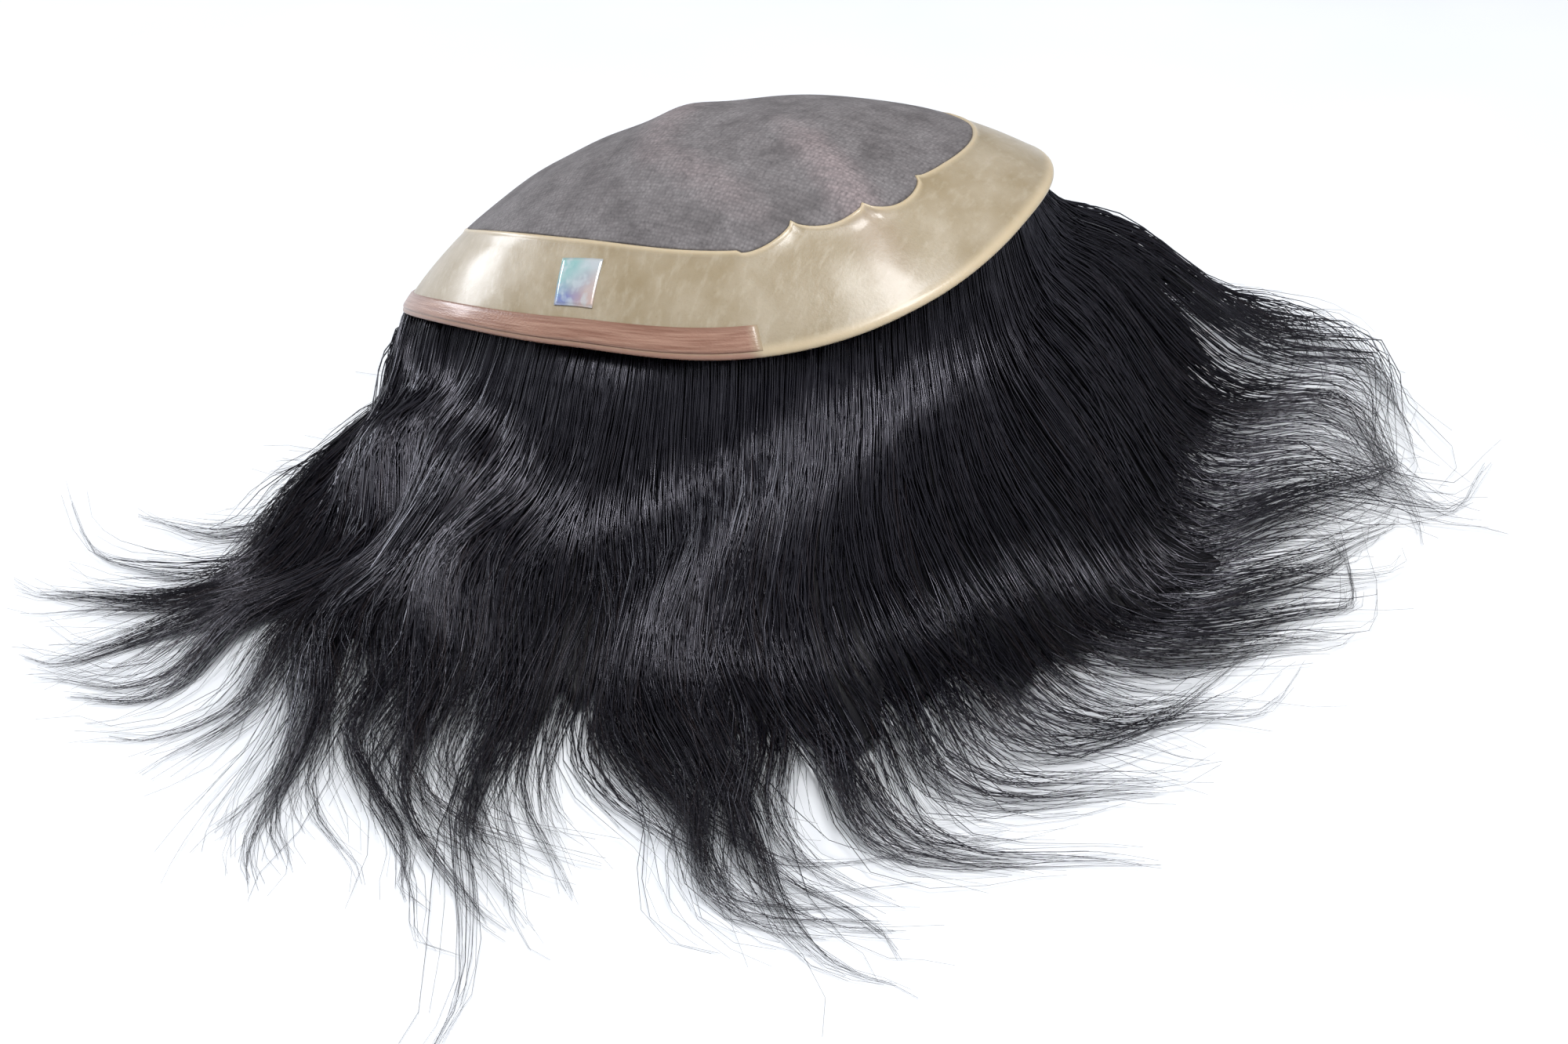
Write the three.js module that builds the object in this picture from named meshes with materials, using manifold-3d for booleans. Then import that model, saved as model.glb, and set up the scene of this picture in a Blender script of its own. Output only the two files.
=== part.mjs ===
// A hair patch for a bald crown, lying on a table turned inside out: the smooth scalp side of its
// thin domed cap faces up, and the hair knotted into the other side falls from the rim and lies
// fanned out in front. Millimetres, +Z up, +X to the viewer's right, +Y away from the viewer. The
// origin is on the table, under the middle of the object's box.
import * as THREE from "three";
import { mergeVertices } from "three/addons/utils/BufferGeometryUtils.js";
import Module from "manifold-3d";

const wasm = await Module();
wasm.setup();

// The cap's outline, measured along its curved surface, front hairline to back and side to side
const CAP_LENGTH = 203;
const CAP_WIDTH = 152;
const FRONT_SQUARENESS = 2.4;
const BACK_SQUARENESS = 2.0;
// How the cap is domed, and how it lies on its hair
const LENGTH_RADIUS = 132;
const WIDTH_RADIUS = 74;
const CORNER_LIFT = 13.5;
const APEX_HEIGHT = 73;
const YAW = -32.5;
const PITCH = 19;
const ROLL = -7.7;
// Walls, and the gaps between pieces
const CAP_WALL = 1.5;
const SEAM_GAP = 0.3;
const HAIR_GAP = 0.45;
const RIM_GAP = 0.7;
// The skin band and the scallops at its front
const SKIN_WIDTH = 26;
const SCALLOP_COUNT = 7;
const SCALLOP_DEPTH = 4.5;
const FRONT_HALF_ANGLE = 44;
const SPOKES_PER_SCALLOP = 6;
const OTHER_SPOKES = 36;
// The brown edge ribbon, let into the band round the sides and the back
const RIBBON_WIDTH = 5.5;
const RIBBON_EDGE = 1.2;
const RIBBON_THICKNESS = 1;
// The foil sticker, let into the band on the near side
const STICKER_LENGTH = 14;
const STICKER_WIDTH = 12;
const STICKER_PLACE = 3;
const STICKER_EDGE = 9.5;
const INSET_DEPTH = 0.8;
// The hair
const HAIR_LENGTH = 200;
const ROOT_THICKNESS = 6;
const ROOT_INSET = 2;
const LOCK_WIDTH = 30;
const LOCK_THICKNESS = 13;
const TIP_THICKNESS = 2.4;
const TIP_WIDTH = 3;
const WAVE_HEIGHT = 5;
const WAVES = 2.5;
const SIDE_WAVE = 3;
const SIDE_WAVES = 1.7;
const FLOOR_BITE = 0.5;

const HALF_LENGTH = CAP_LENGTH / 2;
const HALF_WIDTH = CAP_WIDTH / 2;
const UP = new THREE.Vector3(0, 0, 1);

// Ridges where the cap was folded. Places are shares of the half length and half width, the height
// is a share of the wall and the spread a share of the band's width.
const CREASES = [
  { fromX: 0.35, fromY: -0.05, toX: 0.9, toY: -0.5, height: 1.3, spread: 0.22 },
  { fromX: 0.08, fromY: -0.28, toX: 0.52, toY: -0.5, height: 0.8, spread: 0.24 },
  { fromX: -0.06, fromY: 0.3, toX: 0.08, toY: -0.28, height: 0.9, spread: 0.3 },
];

// The scallops of the seam along the hairline, from the near end to the far end. span is how many
// of the count it takes up, inset the seam's distance from the rim at its far cusp, as a share of the
// band's width, and depth how far it bulges, as a share of the full depth.
const SCALLOPS = [
  { span: 1, inset: 1.13, depth: 0.5 },
  { span: 1, inset: 1.04, depth: 0.55 },
  { span: 1, inset: 1.04, depth: 0.8 },
  { span: 3, inset: 0.92, depth: 0.65 },
  { span: 1, inset: 0.915, depth: 0.3 },
];

// One row for each lock that lies fanned out. rim is the degree round the rim where it leaves the
// cap (0 is the middle of the hairline, 270 the near side), start the way it leaves and heading the
// way that its tip lies, reach how far, as a share of the hair's length, curl how far its tip turns
// from the heading, bulge how far it bends to the left of it, as a share of the reach, crest where
// its first wave starts, as a share of its way, and width a share of the full lock's width.
const FANNED_LOCKS = [
  { rim: 166, start: -135, heading: -124, reach: 0.5, curl: -15, bulge: 0, crest: 0.12, width: 0.85 },
  { rim: 177, start: -140, heading: -126, reach: 0.58, curl: -20, bulge: 0, crest: 0.12, width: 0.85 },
  { rim: 188, start: -140, heading: -128, reach: 0.74, curl: -50, bulge: 0.02, crest: 0.12, width: 0.85 },
  { rim: 199, start: -130, heading: -132, reach: 0.66, curl: -45, bulge: 0.09, crest: 0.12, width: 0.9 },
  { rim: 210, start: -125, heading: -130, reach: 0.68, curl: -40, bulge: 0.04, crest: 0.13, width: 1 },
  { rim: 221, start: -120, heading: -130, reach: 0.67, curl: -35, bulge: -0.01, crest: 0.14, width: 1 },
  { rim: 232, start: -115, heading: -125, reach: 0.66, curl: -10, bulge: -0.05, crest: 0.15, width: 1 },
  { rim: 243, start: -110, heading: -119, reach: 0.63, curl: 0, bulge: -0.07, crest: 0.17, width: 1 },
  { rim: 252, start: -105, heading: -113, reach: 0.66, curl: 15, bulge: -0.07, crest: 0.19, width: 1 },
  { rim: 262, start: -100, heading: -106, reach: 0.68, curl: 20, bulge: -0.06, crest: 0.21, width: 1 },
  { rim: 272, start: -98, heading: -97, reach: 0.78, curl: 45, bulge: -0.06, crest: 0.2, width: 0.95 },
  { rim: 283, start: -95, heading: -95, reach: 0.72, curl: 15, bulge: -0.03, crest: 0.2, width: 1 },
  { rim: 293, start: -92, heading: -92, reach: 0.68, curl: -20, bulge: 0, crest: 0.19, width: 1 },
  { rim: 304, start: -88, heading: -86, reach: 0.69, curl: -15, bulge: -0.02, crest: 0.15, width: 1 },
  { rim: 314, start: -85, heading: -83, reach: 0.63, curl: 25, bulge: -0.04, crest: 0.12, width: 1 },
  { rim: 324, start: -87, heading: -79, reach: 0.72, curl: 55, bulge: -0.07, crest: 0.12, width: 1 },
  { rim: 334, start: -90, heading: -67, reach: 0.6, curl: 50, bulge: -0.05, crest: 0.1, width: 1.05 },
  { rim: 343, start: -88, heading: -48, reach: 0.53, curl: 65, bulge: -0.08, crest: 0.1, width: 1.05 },
  { rim: 351, start: -82, heading: -30, reach: 0.56, curl: 75, bulge: -0.09, crest: 0.1, width: 1 },
  { rim: 359, start: -70, heading: -21, reach: 0.55, curl: 50, bulge: -0.05, crest: 0.1, width: 1 },
  { rim: 8, start: -45, heading: -31, reach: 0.6, curl: -40, bulge: 0.09, crest: 0.12, width: 0.9 },
  { rim: 17, start: -20, heading: -18, reach: 0.54, curl: -75, bulge: 0.15, crest: 0.14, width: 0.85 },
  { rim: 27, start: -5, heading: -16, reach: 0.44, curl: -30, bulge: 0.08, crest: 0.15, width: 0.85 },
];

// Locks of the far side, which fall from the rim and are tucked in under the cap.
const TUCKED_LOCKS = [
  { rim: 41, start: -80, heading: -85, reach: 0.3, curl: -10, bulge: 0, crest: 0.15, width: 1.1 },
  { rim: 62, start: -100, heading: -108, reach: 0.24, curl: -10, bulge: 0, crest: 0.15, width: 1.2 },
  { rim: 86, start: -110, heading: -112, reach: 0.21, curl: 0, bulge: 0, crest: 0.15, width: 1.3 },
  { rim: 112, start: -110, heading: -105, reach: 0.18, curl: 0, bulge: 0, crest: 0.15, width: 1.3 },
  { rim: 140, start: -90, heading: -80, reach: 0.14, curl: 15, bulge: 0, crest: 0.15, width: 1.4 },
];

const radians = THREE.MathUtils.degToRad;

function geometryOf(solid) {
  const { vertProperties, triVerts } = solid.getMesh();
  const geometry = new THREE.BufferGeometry();
  geometry.setAttribute("position", new THREE.BufferAttribute(vertProperties, 3));
  geometry.setIndex(new THREE.BufferAttribute(triVerts, 1));
  return geometry.toNonIndexed();
}

// A named mesh from a manifold solid, with flat faces.
function meshOf(name, solid, material) {
  const geometry = geometryOf(solid);
  geometry.computeVertexNormals();
  const mesh = new THREE.Mesh(geometry, material);
  mesh.name = name;
  return mesh;
}

// A manifold solid from a closed three.js geometry, with points closer than the grain made one.
function solidOf(geometry, grain = 1e-4) {
  const bare = geometry.clone();
  bare.deleteAttribute("normal");
  bare.deleteAttribute("uv");
  const merged = mergeVertices(bare, grain);
  return new wasm.Manifold(
    new wasm.Mesh({
      numProp: 3,
      vertProperties: new Float32Array(merged.attributes.position.array),
      triVerts: new Uint32Array(merged.index.array),
    }),
  );
}

// A closed solid from rows of points that go round it: one row for each section, with the ends
// closed by fans. The rows turn so that the faces point out.
function skinned(rows) {
  const sides = rows[0].length;
  const points = rows.flat();
  const faces = [];
  for (let r = 0; r + 1 < rows.length; r++)
    for (let i = 0; i < sides; i++) {
      const a = r * sides + i;
      const b = r * sides + ((i + 1) % sides);
      faces.push(a, b, b + sides, a, b + sides, a + sides);
    }
  for (const [row, turned] of [
    [0, true],
    [rows.length - 1, false],
  ]) {
    const first = row * sides;
    const centre = points.length;
    points.push(centreOf(rows[row]));
    for (let i = 0; i < sides; i++) {
      const pair = [first + i, first + ((i + 1) % sides)];
      if (turned) pair.reverse();
      faces.push(centre, ...pair);
    }
  }
  return closedSolid(points, faces);
}

function centreOf(points) {
  const sum = points.reduce((total, p) => total.add(p), new THREE.Vector3());
  return sum.divideScalar(points.length);
}

function closedSolid(points, faces) {
  const geometry = new THREE.BufferGeometry().setFromPoints(points);
  geometry.setIndex(faces);
  return solidOf(geometry);
}

// The distance of a place on the cap from a crease, and how far along the crease it is.
function creaseRise(u, v, crease) {
  const from = new THREE.Vector2(crease.fromX * HALF_LENGTH, crease.fromY * HALF_WIDTH);
  const along = new THREE.Vector2(crease.toX * HALF_LENGTH, crease.toY * HALF_WIDTH).sub(from);
  const place = new THREE.Vector2(u, v).sub(from);
  const share = THREE.MathUtils.clamp(place.dot(along) / along.lengthSq(), 0, 1);
  const away = place.distanceTo(along.clone().multiplyScalar(share));
  const spread = crease.spread * SKIN_WIDTH;
  const fade = Math.sin(Math.PI * THREE.MathUtils.clamp(0.12 + 0.76 * share, 0, 1));
  return crease.height * CAP_WALL * fade * Math.exp(-((away / spread) ** 2));
}

// The smooth dome, before it is laid down: u runs along the cap to the hairline, v across it.
function domeAt(u, v) {
  const along = u / LENGTH_RADIUS;
  const across = v / WIDTH_RADIUS;
  const reach = LENGTH_RADIUS - WIDTH_RADIUS + WIDTH_RADIUS * Math.cos(across);
  const lift = CORNER_LIFT * (u / HALF_LENGTH) * (v / HALF_WIDTH);
  return new THREE.Vector3(
    reach * Math.sin(along),
    WIDTH_RADIUS * Math.sin(across),
    reach * Math.cos(along) - LENGTH_RADIUS + lift,
  );
}

const LAID = new THREE.Matrix4()
  .makeTranslation(0, 0, APEX_HEIGHT)
  .multiply(new THREE.Matrix4().makeRotationZ(radians(YAW)))
  .multiply(new THREE.Matrix4().makeRotationY(radians(-PITCH)))
  .multiply(new THREE.Matrix4().makeRotationX(radians(ROLL)));

// A point of the laid cap, offset along its outward normal. Only the cap itself has its creases.
function capPoint(u, v, offset, creased = false) {
  const step = 0.05;
  const point = domeAt(u, v);
  const du = domeAt(u + step, v).sub(domeAt(u - step, v));
  const dv = domeAt(u, v + step).sub(domeAt(u, v - step));
  const normal = du.cross(dv).normalize();
  const rise = creased ? CREASES.reduce((sum, c) => sum + creaseRise(u, v, c), 0) : 0;
  return point.addScaledVector(normal, offset + rise).applyMatrix4(LAID);
}

// The place on the cap that lies the inset inside its rim, at an angle round it.
function rimPlace(degrees, inset) {
  const c = Math.cos(radians(degrees));
  const s = Math.sin(radians(degrees));
  const power = c < 0 ? BACK_SQUARENESS : FRONT_SQUARENESS;
  const length = Math.abs(c) / (HALF_LENGTH - inset);
  const width = Math.abs(s) / (HALF_WIDTH - inset);
  const reach = (length ** power + width ** power) ** (-1 / power);
  return [reach * c, reach * s];
}

// The seam between mesh and skin: plain at the sides and back, scalloped along the hairline.
function seamPlace(degrees, outward) {
  return rimPlace(degrees, seamInset(degrees) - outward);
}

function seamInset(degrees) {
  const side = (angle) => SKIN_WIDTH * (1.035 - 0.167 * Math.cos(radians(angle)));
  const turn = degrees > 180 ? degrees - 360 : degrees;
  const step = (2 * FRONT_HALF_ANGLE) / SCALLOP_COUNT;
  let from = { angle: -FRONT_HALF_ANGLE, inset: side(-FRONT_HALF_ANGLE) };
  if (Math.abs(turn) >= FRONT_HALF_ANGLE) return side(turn);
  for (const { span, inset, depth } of SCALLOPS) {
    const share = (turn - from.angle) / (span * step);
    if (share <= 1) {
      const straight = THREE.MathUtils.lerp(from.inset, SKIN_WIDTH * inset, share);
      return straight - SCALLOP_DEPTH * depth * Math.sqrt(Math.max(0, Math.sin(Math.PI * share)));
    }
    from = { angle: from.angle + span * step, inset: SKIN_WIDTH * inset };
  }
  return side(turn);
}

// The angles of the cap's spokes: close together at the scallops, further apart elsewhere.
function spokeAngles(perScallop, elsewhere) {
  const angles = [];
  const fine = SCALLOP_COUNT * perScallop;
  for (let i = 0; i < fine; i++) angles.push(FRONT_HALF_ANGLE * ((2 * i) / fine - 1));
  const rest = 360 - 2 * FRONT_HALF_ANGLE;
  for (let i = 0; i < elsewhere; i++) angles.push(FRONT_HALF_ANGLE + (rest * i) / elsewhere);
  return angles.map((a) => (a + 360) % 360);
}

function capSpokes() {
  return spokeAngles(SPOKES_PER_SCALLOP, OTHER_SPOKES);
}

// A sheet of the cap, closed round: rings is a list of functions from an angle to a place, from
// the inside out. Without a hole, its middle is closed by a fan round the cap's centre.
function sheet(angles, rings, { top, bottom, hole, creased }) {
  const count = angles.length;
  const points = [];
  for (const offset of [top, bottom])
    for (const ring of rings)
      for (const angle of angles) {
        const [u, v] = ring(angle);
        points.push(capPoint(u, v, offset, creased));
      }
  const faces = [];
  const under = rings.length * count;
  const quad = (a, b, c, d) => faces.push(a, b, c, a, c, d);
  for (let i = 0; i < count; i++) {
    const j = (i + 1) % count;
    for (let r = 0; r + 1 < rings.length; r++) {
      const inner = r * count;
      const outer = inner + count;
      quad(inner + i, outer + i, outer + j, inner + j);
      quad(under + inner + j, under + outer + j, under + outer + i, under + inner + i);
    }
    const rim = (rings.length - 1) * count;
    quad(rim + j, rim + i, under + rim + i, under + rim + j);
    if (hole) quad(i, j, under + j, under + i);
  }
  if (!hole) {
    const centre = points.length;
    points.push(capPoint(0, 0, top, creased), capPoint(0, 0, bottom, creased));
    for (let i = 0; i < count; i++) {
      const j = (i + 1) % count;
      faces.push(centre, i, j, centre + 1, under + j, under + i);
    }
  }
  return closedSolid(points, faces);
}

// Rings between two outlines, both included.
function ringsBetween(inner, outer, steps) {
  return Array.from({ length: steps + 1 }, (_, k) => (angle) => {
    const [a, b] = [inner(angle), outer(angle)];
    return [0, 1].map((axis) => THREE.MathUtils.lerp(a[axis], b[axis], k / steps));
  });
}

// A strip or patch of the cap: rows of places, each row with the same count, between two offsets.
function patch(rows, top, bottom) {
  const sections = rows.map((row) => {
    const over = row.map(([u, v]) => capPoint(u, v, top, true));
    const below = row.map(([u, v]) => capPoint(u, v, bottom, true));
    return [...below, ...over.reverse()];
  });
  return skinned(sections);
}

function ribbon(grow, top, bottom) {
  const insets = [RIBBON_EDGE - grow, RIBBON_EDGE + RIBBON_WIDTH + grow];
  const angles = Array.from({ length: OTHER_SPOKES + 1 }, (_, i) => {
    const share = i / OTHER_SPOKES;
    return FRONT_HALF_ANGLE + share * (360 - 2 * FRONT_HALF_ANGLE) + (share - 0.5) * grow;
  });
  const rows = angles.map((angle) => insets.map((inset) => rimPlace(angle, inset)));
  return patch(rows, top, bottom);
}

function sticker(grow, top, bottom) {
  const steps = 3;
  const near = -(HALF_WIDTH - STICKER_EDGE) - grow;
  const far = -(HALF_WIDTH - STICKER_EDGE) + STICKER_WIDTH + grow;
  const length = STICKER_LENGTH + 2 * grow;
  const rows = Array.from({ length: steps + 1 }, (_, i) => {
    const u = STICKER_PLACE + length * (i / steps - 0.5);
    return Array.from({ length: steps + 1 }, (_, k) => [
      u,
      THREE.MathUtils.lerp(near, far, k / steps),
    ]);
  });
  return patch(rows, top, bottom);
}

// The net that the crown's hair is knotted to.
function meshCrown() {
  const seam = (angle) => seamPlace(angle, -SEAM_GAP / 2);
  const plain = [0.26, 0.53, 0.8].map((share) => (angle) => {
    return rimPlace(angle, SKIN_WIDTH).map((x) => x * share);
  });
  return sheet(capSpokes(), [...plain, seam], { top: 0, bottom: -CAP_WALL, creased: true });
}

// The clear skin band round the net, with shallow recesses for the ribbon and the sticker.
function skinBand() {
  const seam = (angle) => seamPlace(angle, SEAM_GAP / 2);
  const ribbonMiddle = RIBBON_EDGE + RIBBON_WIDTH / 2;
  const insets = [(SKIN_WIDTH + ribbonMiddle) / 2, ribbonMiddle, 0];
  const rings = [seam, ...insets.map((inset) => (angle) => rimPlace(angle, inset))];
  const band = sheet(capSpokes(), rings, {
    top: 0,
    bottom: -CAP_WALL,
    hole: true,
    creased: true,
  });
  return band
    .subtract(ribbon(SEAM_GAP, 2, -INSET_DEPTH))
    .subtract(sticker(SEAM_GAP, 2, -INSET_DEPTH));
}

// Recessed pieces stand clear of the recess floor by the seam gap.
function insetPiece(shape) {
  const bottom = SEAM_GAP - INSET_DEPTH;
  return shape(0, bottom + RIBBON_THICKNESS, bottom);
}

// The matted roots, a layer that follows the underside of the cap.
function rootLayer() {
  const rings = ringsBetween(
    (angle) => rimPlace(angle, 0).map((x) => x / 4),
    (angle) => rimPlace(angle, ROOT_INSET),
    3,
  );
  const top = -CAP_WALL;
  return sheet(spokeAngles(1, 20), rings, { top, bottom: top - HAIR_GAP - ROOT_THICKNESS });
}

// The space of the cap and above it, where hair is cut away.
function capClearance() {
  const rings = ringsBetween(
    (angle) => rimPlace(angle, 0).map((x) => x / 6),
    (angle) => rimPlace(angle, -RIM_GAP),
    4,
  );
  return sheet(spokeAngles(2, 26), rings, {
    top: LOCK_WIDTH,
    bottom: -CAP_WALL - HAIR_GAP,
  });
}

// The sections of a lock: out of the root layer, over the rim, down to the table and along it.
// Each has its centre and its share of the way from the rim to the tip.
function lockSections(row, count) {
  const middle = -CAP_WALL - HAIR_GAP - LOCK_THICKNESS * 0.4;
  const root = capPoint(...rimPlace(row.rim, ROOT_INSET + LOCK_THICKNESS), middle);
  const exit = capPoint(...rimPlace(row.rim, ROOT_INSET), middle);
  const sections = [
    { share: 0, centre: root },
    { share: 0, centre: exit },
  ];
  for (let i = 1; i <= count; i++) {
    const share = i / count;
    const { x, y } = lockPlan(row, exit, share);
    const centre = new THREE.Vector3(x, y, lockHeight(exit.z, share, row.crest));
    sections.push({ share, centre });
  }
  return sections;
}

function toward(degrees) {
  return new THREE.Vector2(Math.cos(radians(degrees)), Math.sin(radians(degrees)));
}

// Where a lock lies on the table at a share of its way, seen from above.
function lockPlan(row, exit, s) {
  const reach = row.reach * HAIR_LENGTH;
  const start = new THREE.Vector2(exit.x, exit.y);
  const tip = start.clone().addScaledVector(toward(row.heading), reach);
  const sway = SIDE_WAVE * s * (1 - s / 2) * Math.sin(Math.PI * 2 * (SIDE_WAVES * s + row.rim / 90));
  const bend = row.bulge * reach * Math.sin(Math.PI * Math.min(s, 0.9999)) ** 1.5;
  return start
    .multiplyScalar((1 + 2 * s) * (1 - s) ** 2)
    .addScaledVector(toward(row.start), 0.55 * reach * s * (1 - s) ** 2)
    .addScaledVector(tip, s ** 2 * (3 - 2 * s))
    .addScaledVector(toward(row.heading + row.curl), reach * s ** 2 * (s - 1))
    .addScaledVector(toward(row.heading + 90), bend + sway);
}

// A lock falls steeply from the rim in waves, and flattens out on the table.
function lockHeight(rimHeight, s, crest) {
  const fallen = 0.62;
  const drop = Math.max(0, 1 - s / fallen) ** 1.7;
  const swell = THREE.MathUtils.smoothstep(s, 0.02, 0.16) * (1 - s) ** 0.7;
  const wave = (1 + WAVE_HEIGHT * Math.sin(Math.PI * 2 * WAVES * (s - crest))) * swell;
  const lying = (lockThickness(s) / 2) * Math.sin(radians(60)) - FLOOR_BITE;
  return Math.max(lying, Math.max(lying, rimHeight * drop) + wave);
}

function lockThickness(s) {
  return TIP_THICKNESS + (LOCK_THICKNESS - TIP_THICKNESS) * (1 - s) ** 0.9;
}

function lockWidth(s, width) {
  const swell = 0.8 + 0.2 * THREE.MathUtils.smoothstep(s, 0, 0.4);
  return TIP_WIDTH + (LOCK_WIDTH * width - TIP_WIDTH) * swell * (1 - s ** 3) ** 0.8;
}

// A lock as a lofted bar with six-sided oval sections that stand across its path, and are flat
// where they lie on the table.
function lock(row, count) {
  const sides = 6;
  const sections = lockSections(row, count);
  const rows = sections.map(({ share, centre }, i) => {
    const before = sections[Math.max(0, i - 1)].centre;
    const after = sections[Math.min(sections.length - 1, i + 1)].centre;
    const ahead = after.clone().sub(before).normalize();
    const across = new THREE.Vector3().crossVectors(UP, ahead).normalize();
    const over = new THREE.Vector3().crossVectors(ahead, across).normalize();
    const halfWidth = lockWidth(share, row.width) / 2;
    const halfThickness = lockThickness(share) / 2;
    return Array.from({ length: sides }, (_, k) => {
      const turn = (Math.PI * 2 * k) / sides;
      const point = centre
        .clone()
        .addScaledVector(across, halfWidth * Math.cos(turn))
        .addScaledVector(over, halfThickness * Math.sin(turn));
      point.z = Math.max(0, point.z);
      return point;
    });
  });
  return skinned(rows);
}

// All the hair as one body, flat where it lies on the table and clear of the cap.
function hair() {
  const locks = [
    ...FANNED_LOCKS.map((row) => lock(row, 7)),
    ...TUCKED_LOCKS.map((row) => lock(row, 4)),
  ];
  const whole = wasm.Manifold.union([rootLayer(), ...locks]);
  const cut = whole.subtract(capClearance());
  const bodies = solidOf(geometryOf(cut), 4e-3).decompose();
  return bodies.reduce((most, body) => (body.volume() > most.volume() ? body : most));
}

function material(color, roughness) {
  return new THREE.MeshStandardMaterial({ color, roughness, metalness: 0 });
}

const patchModel = new THREE.Group();
patchModel.add(
  meshOf("mesh_crown", meshCrown(), material("#6f6866", 0.8)),
  meshOf("skin_band", skinBand(), material("#c8bd9f", 0.3)),
  meshOf("edge_ribbon", insetPiece(ribbon), material("#a97f6a", 0.5)),
  meshOf("foil_sticker", insetPiece(sticker), material("#c9d4dc", 0.2)),
  meshOf("hair", hair(), material("#1b1a1e", 0.45)),
);

// The origin goes under the middle of the whole object's box.
const box = new THREE.Box3().setFromObject(patchModel);
const middle = box.getCenter(new THREE.Vector3());
patchModel.position.set(-middle.x, -middle.y, -box.min.z);

export default patchModel;
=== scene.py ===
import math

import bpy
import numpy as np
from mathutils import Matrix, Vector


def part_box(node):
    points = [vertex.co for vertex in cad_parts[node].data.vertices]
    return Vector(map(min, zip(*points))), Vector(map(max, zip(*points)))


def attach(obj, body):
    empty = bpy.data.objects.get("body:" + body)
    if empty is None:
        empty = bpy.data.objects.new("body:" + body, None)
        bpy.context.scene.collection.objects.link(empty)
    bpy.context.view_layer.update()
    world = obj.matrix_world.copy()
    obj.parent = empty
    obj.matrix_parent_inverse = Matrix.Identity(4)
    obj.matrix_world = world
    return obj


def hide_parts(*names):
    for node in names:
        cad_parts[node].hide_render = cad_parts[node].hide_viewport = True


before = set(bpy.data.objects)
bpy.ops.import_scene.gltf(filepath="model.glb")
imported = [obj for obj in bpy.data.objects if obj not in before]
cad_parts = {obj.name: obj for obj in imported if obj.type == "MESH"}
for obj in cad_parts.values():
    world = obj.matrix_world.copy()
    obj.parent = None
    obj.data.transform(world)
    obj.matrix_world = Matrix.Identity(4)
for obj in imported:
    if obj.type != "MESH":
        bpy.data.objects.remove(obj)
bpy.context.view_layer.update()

# A men's hair patch that lies inside out on a pale table. The scalp side of its domed base faces
# up: a fine net crown in a clear skin band, with a tape round the sides and the back and a small
# foil sticker. Long dark hair falls from the rim and lies drawn towards the viewer in wisps.
# Sizes are in millimetres here, and are turned to metres when a mesh is made.

MM = 0.001

# The base, as it is in the solids
CAP_LENGTH = 203
CAP_WIDTH = 152
FRONT_SQUARENESS = 2.4
BACK_SQUARENESS = 2.0
LENGTH_RADIUS = 132
WIDTH_RADIUS = 74
CORNER_LIFT = 13.5
APEX_HEIGHT = 73
YAW, PITCH, ROLL = -32.5, 19, -7.7
CAP_WALL = 1.5
SEAM_GAP = 0.3
SKIN_WIDTH = 26
SCALLOP_COUNT = 7
SCALLOP_DEPTH = 4.5
SPOKES_PER_SCALLOP = 6
OTHER_SPOKES = 36
FRONT_HALF_ANGLE = 44
RIBBON_WIDTH = 5.5
RIBBON_EDGE = 1.2
STICKER_LENGTH = 14
STICKER_WIDTH = 12
STICKER_PLACE = 3
STICKER_EDGE = 9.5
# Spokes round the cap: for each scallop, and in all elsewhere
FINE_SPOKES = (16, 110)
HALF_LENGTH = CAP_LENGTH / 2
HALF_WIDTH = CAP_WIDTH / 2

# Ridges where the cap was folded: ends as shares of the half length and half width, the height as
# a share of the wall, the spread as a share of the band's width
CREASES = [
    {"from": (0.35, -0.05), "to": (0.9, -0.5), "height": 1.3, "spread": 0.22},
    {"from": (0.08, -0.28), "to": (0.52, -0.5), "height": 0.8, "spread": 0.24},
    {"from": (-0.06, 0.3), "to": (0.08, -0.28), "height": 0.9, "spread": 0.3},
]

# The scallops of the seam along the hairline, from the near end. Columns: how many of the count
# each takes up, the seam's distance from the rim at its far cusp as a share of the band's width,
# and how far it bulges as a share of the full depth
SCALLOPS = [
    (1, 1.13, 0.5),
    (1, 1.04, 0.55),
    (1, 1.04, 0.8),
    (3, 0.92, 0.65),
    (1, 0.915, 0.3),
]

# The hair. Its formulas are those of the solids, and its locks nearly so: here some waves start
# elsewhere, some tips reach further or turn more, and one lock more leaves the rim at the right
HAIR_LENGTH = 200
ROOT_INSET = 2
LOCK_THICKNESS = 13
TIP_THICKNESS = 2.4
WAVE_HEIGHT = 5
WAVES = 2.5
SIDE_WAVE = 3
SIDE_WAVES = 1.7
HAIR_GAP = 0.45

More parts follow.
